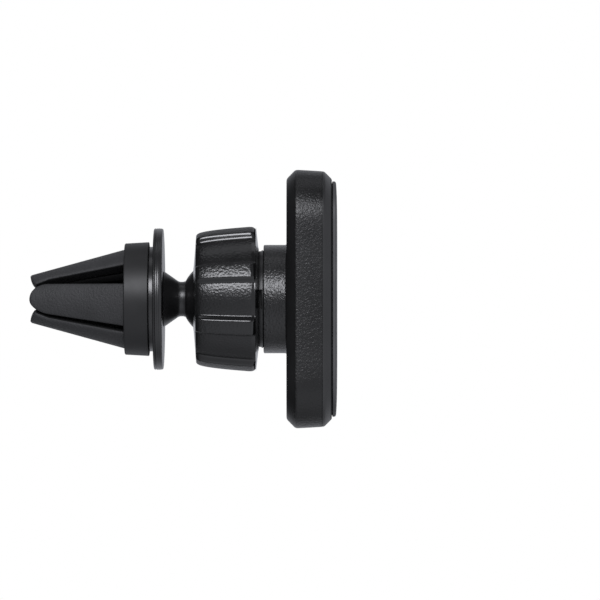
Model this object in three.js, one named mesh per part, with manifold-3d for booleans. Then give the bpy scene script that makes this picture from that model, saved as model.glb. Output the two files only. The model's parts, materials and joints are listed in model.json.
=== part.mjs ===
// Magnetic car phone mount: a four-jaw clip for an air vent, a ball joint with a ribbed
// clamp nut, and a square magnetic head. Millimetres, +Z up.
// X is the mount's own axis and points at the phone; x = 0 is the face that stops on the vent.
import * as THREE from "three";
import { mergeVertices } from "three/addons/utils/BufferGeometryUtils.js";
import Module from "manifold-3d";

const wasm = await Module();
wasm.setup();

// ---- driving dimensions ---------------------------------------------------------------
const ROUND = 36;                 // sides of a visible round piece
const ROUND_HIDDEN = 24;          // sides of a round piece inside
const ROUND_SMALL = 14;           // sides of a screw, magnet or post

const JAW_TIP_X = -26.7;          // free end of the jaws
const JAW_ROOT_X = -6.1;          // end of the rubber inside the collar
const JAW_TIP_R = 5.1;
const JAW_SLOPE = 0.2745;         // growth of the jaws' outer radius towards the collar
const JAW_WALL_TIP = 2.2;
const JAW_WALL_ROOT = 3.2;
const NARROW_JAW_TOP_Z = 3.5;     // upper edge of a narrow jaw, parallel to the axis
const NARROW_JAW_LOW = -34;       // its lower edge, degrees round the axis
const NARROW_JAW_MIDDLE = -1.5;   // where its tongue-shaped tip points
const NARROW_JAW_ROUND = 4.0;     // length of the tongue
const WIDE_JAW_TIP = [36, 146];   // edges of a wide jaw near its tip, degrees round the axis
const WIDE_JAW_BODY = [45, 137.3];
const WIDE_JAW_MIDDLE = 91;
const WIDE_JAW_ROUND = 1.7;
const WIDE_JAW_TAPER_X = -25.5;   // where the edges start to draw in from tip to body
const WIDE_JAW_TAPER = 3;
const RIDGE_HEIGHT = 0.35;        // grip ridges on the inside of the rubber
const RIDGE_PITCH = 3.2;
const RIDGE_COUNT = 4;
const FINGER_DEPTH = 0.9;         // rubber over the hard finger
const FINGER_WALL = 1.0;
const FINGER_GAP = 0.1;
const FINGER_TIP_X = -23.6;
const FINGER_MARGIN = 9;          // degrees of rubber past each side of the finger
const BEAD_X = -4.2;              // axis that a jaw rocks on
const BEAD_RADIAL = 8.9;
const BEAD_R = 1.1;
const BEAD_LENGTH = 7;

const COLLAR_FRONT_X = -6.3;
const COLLAR_BACK_X = -1.05;
const COLLAR_FRONT_R = 12.0;
const COLLAR_BACK_R = 12.3;
const COLLAR_BORE_R = 11.1;
const CORE_R = 10.9;
const CORE_BACK_X = -1.05;
const CORE_FLOOR_X = -2.6;
const CORE_LIP_X = -5.85;         // lip that keeps the jaws' beads in
const CORE_LIP_R = 8.4;
const CORE_LIP_T = 0.4;
const CORE_TUBE_R = 6.6;
const CORE_TUBE_BORE_R = 5.2;
const FLANGE_R = 15.26;
const FLANGE_T = 2.0;
const FLANGE_EDGE = 0.3;
const FLANGE_BEARING_R = 12.7;    // the vent bears on the flange outside this radius
const SPIGOT_R = 11.3;
const SPIGOT_T = 1.0;

const BALL_X = 14.36;
const BALL_R = 8.5;
const NECK_R = 3.73;
const CONE_BASE_R = 6.0;
const CONE_END_X = 5.4;
const SHANK_R = 2.6;
const SHANK_END_X = -2.4;
const STEM_BORE_R = 2.7;
const STEM_PILOT_R = 1.3;
const STEM_PILOT_END_X = 3.0;
const STEM_WASHER_R = 4.6;
const STEM_WASHER_T = 0.5;
const STEM_SCREW_HEAD_X = -5.0;
const STEM_SCREW_TIP_X = 2.6;
const STEM_SCREW_HEAD_T = 1.8;
const AXIAL_SCREW_HEAD_R = 2.8;   // the stem screw and the socket screw
const AXIAL_SCREW_R = 1.2;
const AXIAL_SCREW_HOLE_R = 1.3;

const RACE_IN_R = 8.72;           // liner and grip ring lie between these two spheres
const RACE_OUT_R = 9.15;
const SEAT_R = 9.25;              // spherical seats in the socket and in the nut
const LIP_SPHERE_R = 8.7;
const LINER_ARC = [14, 84];       // degrees off the +X axis, about the ball's centre
const GRIP_ARC = [101, 119.5];
const CLAMP_WASHER_BORE_R = 9.4;
const CLAMP_WASHER_T = 0.6;

const NUT_RIBS = 8;
const RIB_HEIGHT = 1.1;
const RIB_TOP_HALF = 5.0;         // degrees
const RIB_BASE_HALF = 9.2;        // degrees
const NUT_MOUTH_X = 8.5;
const NUT_MOUTH_R = 6.55;
const NUT_FACE_X = 9.3;
const NUT_FACE_R = 14.45;         // radius over the ribs at the ball end
const NUT_WIDEST_X = 20.7;
const NUT_WIDEST_R = 16.3;
const NUT_BULGE = 0.47;           // power by which the radius grows between them
const NUT_END_ROUND = 1.3;        // length of the rounding at the wide end
const NUT_END_DROP = 0.8;
const NUT_SHOULDER_X = 14.6;
const NUT_BORE_R = 10.75;
const NUT_END_X = 22.6;

const SOCKET_R = 10.54;
const SOCKET_START_X = 15.5;
const SOCKET_SHOULDER_X = 23.6;
const SOCKET_SPIGOT_R = 9.8;
const SOCKET_END_X = 30.25;
const SOCKET_SLOT_W = 4.1;
const SOCKET_SLOT_DEPTH = 4.4;
const SOCKET_SLOT_MIDDLE_R = 9.5;
const SOCKET_WASHER_R = 12.4;
const SOCKET_WASHER_T = 1.0;
const SOCKET_WASHER_BORE_R = 1.6;
const SOCKET_SCREW_HEAD_X = 33.1;
const SOCKET_SCREW_HEAD_T = 1.6;
const SOCKET_SCREW_TIP_X = 25.6;
const BOSS_R = 11.7;
const BOSS_X = 23.65;

const HEAD_Y = 20.0;              // half depth of the head
const HEAD_Z = 27.66;             // half height of the head
const HEAD_CORNER = 11.0;
const HEAD_BACK_X = 28.6;
const HEAD_SPLIT_X = 36.2;        // where the rear housing meets the bezel
const HEAD_FRONT_X = 38.3;
const HOUSING_FLOOR_X = 30.3;
const BEZEL_PLATE_X = 37.1;
const PAD_BACK_X = 38.45;
const PAD_FRONT_X = 39.5;
const PAD_INSET = 2.46;
const PLATE_INSET = 3.0;          // yoke and tray, from the head's outline
const YOKE_X = 33.3;
const YOKE_T = 1.1;
const TRAY_X = 34.5;
const TRAY_T = 2.45;
const MAGNET_R = 5.4;
const MAGNET_T = 2.3;
const MAGNET_PITCH_Y = 14.4;
const MAGNET_PITCH_Z = 14.2;
const POST_OFFSET = 4.03;         // post, from the centre of the head's corner arc
const POST_R = 2.3;
const PILOT_END_X = 31.2;         // bottom of the screw holes in the posts
const HOUSING_SCREW_R = 1.0;
const HOUSING_SCREW_HEAD_R = 2.0;
const HOUSING_SCREW_HEAD_T = 0.65;
const HOUSING_SCREW_SUNK = 0.08;
const HOUSING_SCREW_TIP_X = 31.6;
const HOUSING_SCREW_HOLE_R = 1.12;
const ADHESIVE_INSET = 3.2;
const ADHESIVE_GAP = 0.03;
const SLIP = 0.05;                // gap left where two pieces bear on each other

const deg = THREE.MathUtils.degToRad;

// ---- shapes ---------------------------------------------------------------------------

// A point at radius r and at an angle round the axis: 0 is the -Y side, 90 degrees is up.
function around(x, r, degrees) {
  return new THREE.Vector3(x, -r * Math.cos(deg(degrees)), r * Math.sin(deg(degrees)));
}

// A geometry from points and triangles, with its faces turned outwards.
function solid(points, triangles) {
  let volume = 0;
  for (const [a, b, c] of triangles) {
    volume += points[a].dot(new THREE.Vector3().crossVectors(points[b], points[c]));
  }
  const geometry = new THREE.BufferGeometry();
  geometry.setFromPoints(points);
  geometry.setIndex(triangles.flatMap(([a, b, c]) => (volume < 0 ? [a, c, b] : [a, b, c])));
  geometry.computeVertexNormals();
  return geometry;
}

// Rings of equal length joined one after another. The ends are capped by the function
// given, or the last ring joins the first.
function skin(rings, capEnd) {
  const n = rings[0].length;
  const triangles = [];
  const last = capEnd ? rings.length - 1 : rings.length;
  for (let i = 0; i < last; i += 1) {
    const here = i * n;
    const next = ((i + 1) % rings.length) * n;
    for (let k = 0; k < n; k += 1) {
      const m = (k + 1) % n;
      triangles.push([here + k, next + k, next + m], [here + k, next + m, here + m]);
    }
  }
  if (capEnd) {
    triangles.push(...capEnd(0, n));
    capEnd((rings.length - 1) * n, n).forEach(([a, b, c]) => triangles.push([a, c, b]));
  }
  return solid(rings.flat(), triangles);
}

// Cap of a convex ring: a fan from its first point.
function fanCap(start, n) {
  const fan = [];
  for (let k = 1; k < n - 1; k += 1) fan.push([start, start + k, start + k + 1]);
  return fan;
}

// Cap of a sector ring, whose first half is the outer arc and second half the inner one.
function sectorCap(start, n) {
  const strip = [];
  for (let k = 0; k < n / 2 - 1; k += 1) {
    const a = start + k;
    const b = start + n - 1 - k;
    strip.push([a, a + 1, b], [a + 1, b - 1, b]);
  }
  return strip;
}

// A round piece from [x, radius] points; the profile ends on the axis or is closed here.
function turned(profile, sides = ROUND) {
  const onAxis = profile[0][1] === 0 && profile.at(-1)[1] === 0;
  const outline = onAxis ? profile : [...profile, profile[0]];
  const geometry = new THREE.LatheGeometry(outline.map(([x, r]) => new THREE.Vector2(r, x)), sides);
  geometry.rotateZ(-Math.PI / 2);
  return tidy(geometry);
}

// Merged vertices, no collapsed triangles, faces turned outwards.
function tidy(geometry) {
  const bare = geometry.clone();
  bare.deleteAttribute("normal");
  bare.deleteAttribute("uv");
  const merged = mergeVertices(bare, 1e-5);
  const place = merged.getAttribute("position");
  const points = [];
  for (let i = 0; i < place.count; i += 1) points.push(new THREE.Vector3().fromBufferAttribute(place, i));
  const index = merged.index.array;
  const triangles = [];
  for (let i = 0; i < index.length; i += 3) {
    const [a, b, c] = [index[i], index[i + 1], index[i + 2]];
    if (a !== b && b !== c && a !== c) triangles.push([a, b, c]);
  }
  return solid(points, triangles);
}

// Points of an arc about a centre on the axis, from one angle to another off the +X axis.
function arc(centreX, radius, from, to, steps) {
  const points = [];
  for (let i = 0; i <= steps; i += 1) {
    const turn = deg(from + ((to - from) * i) / steps);
    points.push([centreX + radius * Math.cos(turn), radius * Math.sin(turn)]);
  }
  return points;
}

// A plain cylinder along X.
function rod(fromX, toX, r, y = 0, z = 0, sides = ROUND_SMALL) {
  const geometry = turned([[fromX, 0], [fromX, r], [toX, r], [toX, 0]], sides);
  geometry.translate(0, y, z);
  return geometry;
}

function block(x, y, z, sx, sy, sz) {
  const geometry = new THREE.BoxGeometry(sx, sy, sz);
  geometry.translate(x, y, z);
  return geometry;
}

// A stack of rounded rectangles across X, each drawn in from the head's outline.
function stacked(sections) {
  const steps = 5;
  const rings = sections.map(([x, inset]) => {
    const ring = [];
    for (let corner = 0; corner < 4; corner += 1) {
      const side = [[1, 1], [-1, 1], [-1, -1], [1, -1]][corner];
      for (let i = 0; i <= steps; i += 1) {
        const turn = ((corner + i / steps) * Math.PI) / 2;
        ring.push(new THREE.Vector3(
          x,
          side[0] * (HEAD_Y - HEAD_CORNER) + (HEAD_CORNER - inset) * Math.cos(turn),
          side[1] * (HEAD_Z - HEAD_CORNER) + (HEAD_CORNER - inset) * Math.sin(turn),
        ));
      }
    }
    return ring;
  });
  return skin(rings, fanCap);
}

// ---- joining and cutting --------------------------------------------------------------
function toManifold(geometry) {
  const merged = tidy(geometry);
  const mesh = new wasm.Mesh({
    numProp: 3,
    vertProperties: new Float32Array(merged.getAttribute("position").array),
    triVerts: new Uint32Array(merged.index.array),
  });
  return new wasm.Manifold(mesh);
}

function fromManifold(shape) {
  const mesh = shape.getMesh();
  const geometry = new THREE.BufferGeometry();
  geometry.setAttribute("position", new THREE.BufferAttribute(new Float32Array(mesh.vertProperties), 3));
  geometry.setIndex(new THREE.BufferAttribute(new Uint32Array(mesh.triVerts), 1));
  geometry.computeVertexNormals();
  return geometry;
}

function joined(base, ...others) {
  return fromManifold(others.reduce((sum, other) => sum.add(toManifold(other)), toManifold(base)));
}

function cut(base, ...tools) {
  return fromManifold(tools.reduce((rest, tool) => rest.subtract(toManifold(tool)), toManifold(base)));
}

// ---- materials ------------------------------------------------------------------------
function finish(color, roughness, metalness = 0) {
  return () => new THREE.MeshStandardMaterial({ color, roughness, metalness });
}
const rubber = finish(0x2b2b2c, 0.85);
const satinPlastic = finish(0x232324, 0.5);
const grainPlastic = finish(0x262627, 0.65);
const glossPlastic = finish(0x1b1b1c, 0.22);
const nylon = finish(0xd8d6cf, 0.5);
const blackSteel = finish(0x2a2a2b, 0.35, 0.8);
const zincSteel = finish(0xb4b6b8, 0.35, 0.9);
const nickel = finish(0xc9c7c1, 0.2, 1.0);
const adhesive = finish(0x3a3a3a, 0.8);

const mount = new THREE.Group();

function piece(name, geometry, material) {
  const mesh = new THREE.Mesh(geometry, material());
  mesh.name = name;
  mount.add(mesh);
  return mesh;
}

// ---- vent clip: hub, collar and stop flange -------------------------------------------
function clipCore() {
  return turned([
    [CORE_BACK_X, STEM_BORE_R],
    [CORE_BACK_X, CORE_R],
    [CORE_FLOOR_X, CORE_R],
    [CORE_FLOOR_X, CORE_TUBE_R],
    [CORE_LIP_X + CORE_LIP_T, CORE_TUBE_R],
    [CORE_LIP_X + CORE_LIP_T, CORE_LIP_R],
    [CORE_LIP_X, CORE_LIP_R],
    [CORE_LIP_X, CORE_TUBE_BORE_R],
    [CORE_FLOOR_X, CORE_TUBE_BORE_R],
    [CORE_FLOOR_X, STEM_BORE_R],
  ], ROUND_HIDDEN);
}

function clipCollar() {
  const edge = 0.25;
  return turned([
    [COLLAR_FRONT_X, COLLAR_BORE_R],
    [COLLAR_FRONT_X, COLLAR_FRONT_R - edge],
    [COLLAR_FRONT_X + edge, COLLAR_FRONT_R],
    [COLLAR_BACK_X - edge, COLLAR_BACK_R],
    [COLLAR_BACK_X, COLLAR_BACK_R - edge],
    [COLLAR_BACK_X, COLLAR_BORE_R],
  ]);
}

function stopFlange() {
  return turned([
    [-SPIGOT_T, STEM_BORE_R],
    [-SPIGOT_T, SPIGOT_R],
    [0, SPIGOT_R],
    [0, FLANGE_BEARING_R],
    [0, FLANGE_R - FLANGE_EDGE],
    [FLANGE_EDGE, FLANGE_R],
    [FLANGE_T - FLANGE_EDGE, FLANGE_R],
    [FLANGE_T, FLANGE_R - FLANGE_EDGE],
    [FLANGE_T, STEM_BORE_R],
  ]);
}

function ballStud() {
  const coneX = FLANGE_T + SLIP;
  const neckAngle = 180 - THREE.MathUtils.radToDeg(Math.asin(NECK_R / BALL_R));
  const ball = arc(BALL_X, BALL_R, neckAngle, 0, 11);
  ball[ball.length - 1][1] = 0;
  return turned([
    [STEM_PILOT_END_X, 0],
    [STEM_PILOT_END_X, STEM_PILOT_R],
    [SHANK_END_X, STEM_PILOT_R],
    [SHANK_END_X, SHANK_R],
    [coneX, SHANK_R],
    [coneX, CONE_BASE_R],
    [CONE_END_X, NECK_R],
    ...ball,
  ]);
}

// A pan-head screw along X with a cross recess. The head's outer face is at headX and the
// shank runs from the head towards tipX.
function screw(headX, headT, headR, tipX, shankR) {
  const way = Math.sign(tipX - headX);
  const seatX = headX + way * headT;
  const body = turned([
    [headX, 0],
    [headX, headR * 0.8],
    [headX + way * headT * 0.4, headR],
    [seatX, headR],
    [seatX, shankR],
    [tipX, shankR * 0.8],
    [tipX, 0],
  ], ROUND_SMALL);
  const bar = headR * 1.1;
  const slot = headR * 0.28;
  const depth = headT * 0.9;
  const cross = joined(block(headX, 0, 0, depth, bar, slot), block(headX, 0, 0, depth, slot, bar));
  return cut(body, cross);
}

function axialScrew(headX, headT, tipX) {
  return screw(headX, headT, AXIAL_SCREW_HEAD_R, tipX, AXIAL_SCREW_R);
}

function washer(x, thickness, boreR, outerR, sides = ROUND_SMALL) {
  return turned([[x, boreR], [x, outerR], [x + thickness, outerR], [x + thickness, boreR]], sides);
}

piece("clip_core", clipCore(), satinPlastic);
piece("clip_collar", clipCollar(), satinPlastic);
piece("stop_flange", stopFlange(), satinPlastic);
piece("ball_stud", ballStud(), blackSteel);
const stemWasherX = CORE_FLOOR_X - STEM_WASHER_T - SLIP;
const stemWasher = washer(stemWasherX, STEM_WASHER_T, AXIAL_SCREW_HOLE_R + 0.1, STEM_WASHER_R);
piece("stem_washer", stemWasher, zincSteel);
piece("stem_screw", axialScrew(STEM_SCREW_HEAD_X, STEM_SCREW_HEAD_T, STEM_SCREW_TIP_X), zincSteel);

// ---- jaws -----------------------------------------------------------------------------
function jawRadius(x) {
  return JAW_TIP_R + JAW_SLOPE * (x - JAW_TIP_X);
}

function jawWall(x) {
  const part = (x - JAW_TIP_X) / (JAW_ROOT_X - JAW_TIP_X);
  return JAW_WALL_TIP + (JAW_WALL_ROOT - JAW_WALL_TIP) * part;
}

// How much of a jaw's width is left at x, over its rounded tip.
function tipShare(x, roundLength) {
  const past = Math.max(0, JAW_TIP_X + roundLength - x) / roundLength;
  return Math.max(0.3, Math.sqrt(Math.max(0, 1 - past * past)));
}

// Edges drawn in towards a middle angle.
function drawnIn(edges, middle, share) {
  return edges.map((edge) => middle + (edge - middle) * share);
}

// Edges of a jaw at x, in degrees round the axis.
function jawEdges(x, wide) {
  if (!wide) {
    const top = THREE.MathUtils.radToDeg(Math.asin(NARROW_JAW_TOP_Z / jawRadius(x)));
    return drawnIn([NARROW_JAW_LOW, top], NARROW_JAW_MIDDLE, tipShare(x, NARROW_JAW_ROUND));
  }
  const spread = THREE.MathUtils.clamp((x - WIDE_JAW_TAPER_X) / WIDE_JAW_TAPER, 0, 1);
  const edges = WIDE_JAW_TIP.map((tip, i) => tip + (WIDE_JAW_BODY[i] - tip) * spread);
  return drawnIn(edges, WIDE_JAW_MIDDLE, tipShare(x, WIDE_JAW_ROUND));
}

// A wall bent round the axis. Each station is [x, inner radius, outer radius, from, to].
function sector(stations, steps) {
  const rings = stations.map(([x, inner, outer, from, to]) => {
    const ring = [];
    for (let i = 0; i <= steps; i += 1) ring.push(around(x, outer, from + ((to - from) * i) / steps));
    for (let i = steps; i >= 0; i -= 1) ring.push(around(x, inner, from + ((to - from) * i) / steps));
    return ring;
  });
  return skin(rings, sectorCap);
}

function jawCover(wide) {
  const ridgeStart = JAW_ROOT_X - 1.6 - RIDGE_COUNT * RIDGE_PITCH;
  const places = [0, 0.5, 1.1, 1.7, 2.6, 3.6].map((along) => [JAW_TIP_X + along, 0]);
  for (let i = 0; i < RIDGE_COUNT; i += 1) {
    const x = ridgeStart + i * RIDGE_PITCH;
    places.push([x, 0], [x + RIDGE_PITCH * 0.4, RIDGE_HEIGHT], [x + RIDGE_PITCH * 0.6, RIDGE_HEIGHT]);
  }
  places.push([ridgeStart + RIDGE_COUNT * RIDGE_PITCH, 0], [JAW_ROOT_X, 0]);
  const stations = places.map(([x, ridge]) => {
    const outer = jawRadius(x);
    return [x, outer - jawWall(x) - ridge, outer, ...jawEdges(x, wide)];
  });
  return cut(sector(stations, wide ? 6 : 4), finger(wide, FINGER_GAP, JAW_ROOT_X + 1));
}

// The flat of a hard finger, grown by a gap for the pocket that holds it.
function finger(wide, gap, rootX) {
  const places = [FINGER_TIP_X - gap, (FINGER_TIP_X + rootX) / 2, rootX];
  const stations = places.map((x) => {
    const outer = jawRadius(x) - FINGER_DEPTH;
    const [from, to] = jawEdges(x, wide);
    const margin = FINGER_MARGIN - THREE.MathUtils.radToDeg(gap / outer);
    return [x, outer - FINGER_WALL - gap, outer + gap, from + margin, to - margin];
  });
  return sector(stations, wide ? 4 : 2);
}

function jawFinger(wide) {
  const bead = new THREE.CylinderGeometry(BEAD_R, BEAD_R, BEAD_LENGTH, 12);
  if (wide) {
    bead.translate(BEAD_X, 0, BEAD_RADIAL);
  } else {
    bead.rotateX(Math.PI / 2);
    bead.translate(BEAD_X, -BEAD_RADIAL, 0);
  }
  return joined(finger(wide, 0, BEAD_X), bead);
}

const JAWS = [
  ["near", false, 0],
  ["top", true, 0],
  ["far", false, Math.PI],
  ["bottom", true, Math.PI],
];
for (const [side, wide, turn] of JAWS) {
  piece(`jaw_${side}_cover`, jawCover(wide), rubber).rotation.x = turn;
  piece(`jaw_${side}_finger`, jawFinger(wide), satinPlastic).rotation.x = turn;
}

// ---- ball joint: liner, grip ring, clamp washer, nut ----------------------------------
function race([from, to], steps) {
  return turned([
    ...arc(BALL_X, RACE_IN_R, from, to, steps),
    ...arc(BALL_X, RACE_OUT_R, to, from, steps),
  ], ROUND_HIDDEN);
}

function clampWasher() {
  const washerX = NUT_SHOULDER_X + SLIP;
  return washer(washerX, CLAMP_WASHER_T, CLAMP_WASHER_BORE_R, NUT_BORE_R - 0.1, ROUND_HIDDEN);
}

piece("ball_liner", race(LINER_ARC, 6), nylon);
piece("grip_ring", race(GRIP_ARC, 2), rubber);
piece("clamp_washer", clampWasher(), nylon);

// Outline of the nut across the axis: evenly spaced ribs and convex panels between.
const PANEL_STEPS = 2;
function nutAngles() {
  const period = 360 / NUT_RIBS;
  const panel = period - 2 * RIB_BASE_HALF;
  const angles = [];
  for (let rib = 0; rib < NUT_RIBS; rib += 1) {
    const centre = (rib + 0.5) * period;
    angles.push([centre - RIB_BASE_HALF, 0], [centre - RIB_TOP_HALF, 1]);
    angles.push([centre + RIB_TOP_HALF, 1], [centre + RIB_BASE_HALF, 0]);
    for (let i = 1; i < PANEL_STEPS; i += 1) {
      angles.push([centre + RIB_BASE_HALF + (panel * i) / PANEL_STEPS, 0]);
    }
  }
  return angles;
}

function clampNut() {
  const angles = nutAngles();
  // [x, radius over the ribs, share of the rib height that stands proud]
  const outside = [0, 0.05, 0.15, 0.4, 0.7, 1].map((along) => [
    NUT_FACE_X + (NUT_WIDEST_X - NUT_FACE_X) * along,
    NUT_FACE_R + (NUT_WIDEST_R - NUT_FACE_R) * along ** NUT_BULGE,
    along > 0 ? 1 : 0.85,
  ]);
  for (const turn of [deg(45), deg(90)]) {
    outside.push([
      NUT_WIDEST_X + NUT_END_ROUND * Math.sin(turn),
      NUT_WIDEST_R - NUT_END_DROP * (1 - Math.cos(turn)),
      Math.sqrt(Math.abs(Math.cos(turn))),
    ]);
  }
  outside.push([NUT_END_X - 0.35, 13.4, 0], [NUT_END_X, NUT_BORE_R + 0.45, 0]);
  const inside = [
    [NUT_END_X, NUT_BORE_R],
    [NUT_SHOULDER_X, NUT_BORE_R],
    ...arc(BALL_X, SEAT_R, 90, 121.5, 3),
    ...arc(BALL_X, LIP_SPHERE_R, 122, 132.2, 2),
  ];
  const rings = outside.map(([x, r, share]) => (
    angles.map(([angle, proud]) => around(x, r - RIB_HEIGHT * share * (1 - proud), angle))
  ));
  rings.push(...inside.map(([x, r]) => angles.map(([angle]) => around(x, r, angle))));
  rings.push(angles.map(([angle]) => around(NUT_MOUTH_X, NUT_MOUTH_R, angle)));
  return skin(rings);
}

piece("clamp_nut", clampNut(), glossPlastic);

// ---- socket on the back of the head ---------------------------------------------------
function socketCollet() {
  const startAngle = THREE.MathUtils.radToDeg(Math.acos((SOCKET_START_X - BALL_X) / SEAT_R));
  const cavity = arc(BALL_X, SEAT_R, 0, startAngle, 7);
  cavity[0][1] = 0;
  const body = turned([
    ...cavity,
    [SOCKET_START_X, SOCKET_R],
    [SOCKET_SHOULDER_X, SOCKET_R],
    [SOCKET_SHOULDER_X, SOCKET_SPIGOT_R],
    [SOCKET_END_X, SOCKET_SPIGOT_R],
    [SOCKET_END_X, 0],
  ]);
  const slotFrom = SOCKET_START_X - 1;
  const slotLength = SOCKET_SHOULDER_X - 0.4 - slotFrom;
  const slotX = slotFrom + slotLength / 2;
  const slots = [];
  for (const side of [-SOCKET_SLOT_MIDDLE_R, SOCKET_SLOT_MIDDLE_R]) {
    slots.push(block(slotX, side, 0, slotLength, SOCKET_SLOT_DEPTH, SOCKET_SLOT_W));
    slots.push(block(slotX, 0, side, slotLength, SOCKET_SLOT_W, SOCKET_SLOT_DEPTH));
  }
  return cut(body, ...slots, rod(SOCKET_SCREW_TIP_X - 0.6, SOCKET_END_X + 1, AXIAL_SCREW_HOLE_R));
}

function socketWasher() {
  const x = SOCKET_END_X + 0.12;
  return washer(x, SOCKET_WASHER_T, SOCKET_WASHER_BORE_R, SOCKET_WASHER_R, ROUND_HIDDEN);
}

piece("socket_collet", socketCollet(), grainPlastic);
piece("socket_washer", socketWasher(), zincSteel);
piece("socket_screw", axialScrew(SOCKET_SCREW_HEAD_X, SOCKET_SCREW_HEAD_T, SOCKET_SCREW_TIP_X), zincSteel);

// ---- head: housing, bezel, magnets and pad --------------------------------------------
const POSTS = [[1, 1], [-1, 1], [-1, -1], [1, -1]].map(([y, z]) => [
  y * (HEAD_Y - HEAD_CORNER + POST_OFFSET),
  z * (HEAD_Z - HEAD_CORNER + POST_OFFSET),
]);

function rearHousing() {
  const shell = stacked([
    [HEAD_BACK_X, 2.2],
    [HEAD_BACK_X + 0.25, 1.65],
    [HEAD_BACK_X + 1.7, 0.2],
    [HEAD_BACK_X + 2.1, 0],
    [HEAD_SPLIT_X, 0.28],
  ]);
  const cavity = stacked([
    [HOUSING_FLOOR_X, 3.6],
    [HOUSING_FLOOR_X + 1.4, 1.95],
    [HEAD_SPLIT_X + 1, 2.0],
  ]);
  const boss = turned([
    [BOSS_X, 0],
    [BOSS_X, BOSS_R - 0.2],
    [BOSS_X + 0.2, BOSS_R],
    [HEAD_BACK_X + 1, BOSS_R],
    [HEAD_BACK_X + 1, 0],
  ]);
  const hollow = cut(shell, cavity);
  const posts = POSTS.map(([y, z]) => rod(HOUSING_FLOOR_X - 0.8, HEAD_SPLIT_X - 0.4, POST_R, y, z, 16));
  const pilots = POSTS.map(([y, z]) => rod(PILOT_END_X, HEAD_SPLIT_X + 1, HOUSING_SCREW_HOLE_R, y, z, 12));
  const bore = rod(BOSS_X - 1, HOUSING_FLOOR_X + 1, SOCKET_SPIGOT_R + 0.1, 0, 0, ROUND);
  return cut(joined(hollow, boss, ...posts), bore, ...pilots);
}

function frontBezel() {
  const shell = stacked([
    [HEAD_SPLIT_X + SLIP, 0.29],
    [HEAD_SPLIT_X + 0.35, 0.34],
    [HEAD_SPLIT_X + 0.75, 0.6],
    [HEAD_FRONT_X - 0.25, 1.72],
    [HEAD_FRONT_X, 2.3],
  ]);
  const cavity = stacked([[HEAD_SPLIT_X - 1, 2.2], [BEZEL_PLATE_X, 2.2]]);
  const holes = POSTS.map(([y, z]) => rod(BEZEL_PLATE_X - 1, HEAD_FRONT_X + 1, HOUSING_SCREW_HOLE_R, y, z, 12));
  const sinks = POSTS.map(([y, z]) => rod(HEAD_FRONT_X - 0.8, HEAD_FRONT_X + 1, 2.2, y, z, 16));
  return cut(shell, cavity, ...holes, ...sinks);
}

function innerPlate(x, thickness) {
  const plate = stacked([[x, PLATE_INSET], [x + thickness, PLATE_INSET]]);
  return cut(plate, ...POSTS.map(([y, z]) => rod(x - 1, x + thickness + 1, POST_R + 0.3, y, z, 16)));
}

const MAGNETS = [];
for (const column of [-0.5, 0.5]) {
  for (const row of [-1, 0, 1]) MAGNETS.push([column * MAGNET_PITCH_Y, row * MAGNET_PITCH_Z]);
}

function magnetTray() {
  const pockets = MAGNETS.map(([y, z]) => rod(TRAY_X - 1, TRAY_X + TRAY_T + 1, MAGNET_R + 0.1, y, z));
  return cut(innerPlate(TRAY_X, TRAY_T), ...pockets);
}

piece("rear_housing", rearHousing(), grainPlastic);
piece("front_bezel", frontBezel(), satinPlastic);
piece("steel_yoke", innerPlate(YOKE_X, YOKE_T), zincSteel);
piece("magnet_tray", magnetTray(), satinPlastic);
MAGNETS.forEach(([y, z], i) => {
  const x = TRAY_X + SLIP;
  piece(`magnet_${i + 1}`, rod(x, x + MAGNET_T, MAGNET_R, y, z), nickel);
});
POSTS.forEach(([y, z], i) => {
  const headX = HEAD_FRONT_X - HOUSING_SCREW_SUNK;
  const geometry = screw(
    headX,
    HOUSING_SCREW_HEAD_T,
    HOUSING_SCREW_HEAD_R,
    HOUSING_SCREW_TIP_X,
    HOUSING_SCREW_R,
  );
  piece(`housing_screw_${i + 1}`, geometry, zincSteel).position.set(0, y, z);
});
piece("pad_adhesive", stacked([
  [HEAD_FRONT_X + ADHESIVE_GAP, ADHESIVE_INSET],
  [PAD_BACK_X - ADHESIVE_GAP, ADHESIVE_INSET],
]), adhesive);
piece("face_pad", stacked([
  [PAD_BACK_X, PAD_INSET + 0.15],
  [PAD_BACK_X + 0.15, PAD_INSET],
  [PAD_FRONT_X - 0.45, PAD_INSET],
  [PAD_FRONT_X - 0.12, PAD_INSET + 0.18],
  [PAD_FRONT_X, PAD_INSET + 0.6],
]), rubber);

export default mount;
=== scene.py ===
"""Looks of a magnetic car phone mount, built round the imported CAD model.

The mount's axis is X, pointing at the phone; Z is up. Lengths below are millimetres in the
CAD frame, and MM turns them into metres. The camera and the lights are placed in metres.
"""

import json
import math

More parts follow.
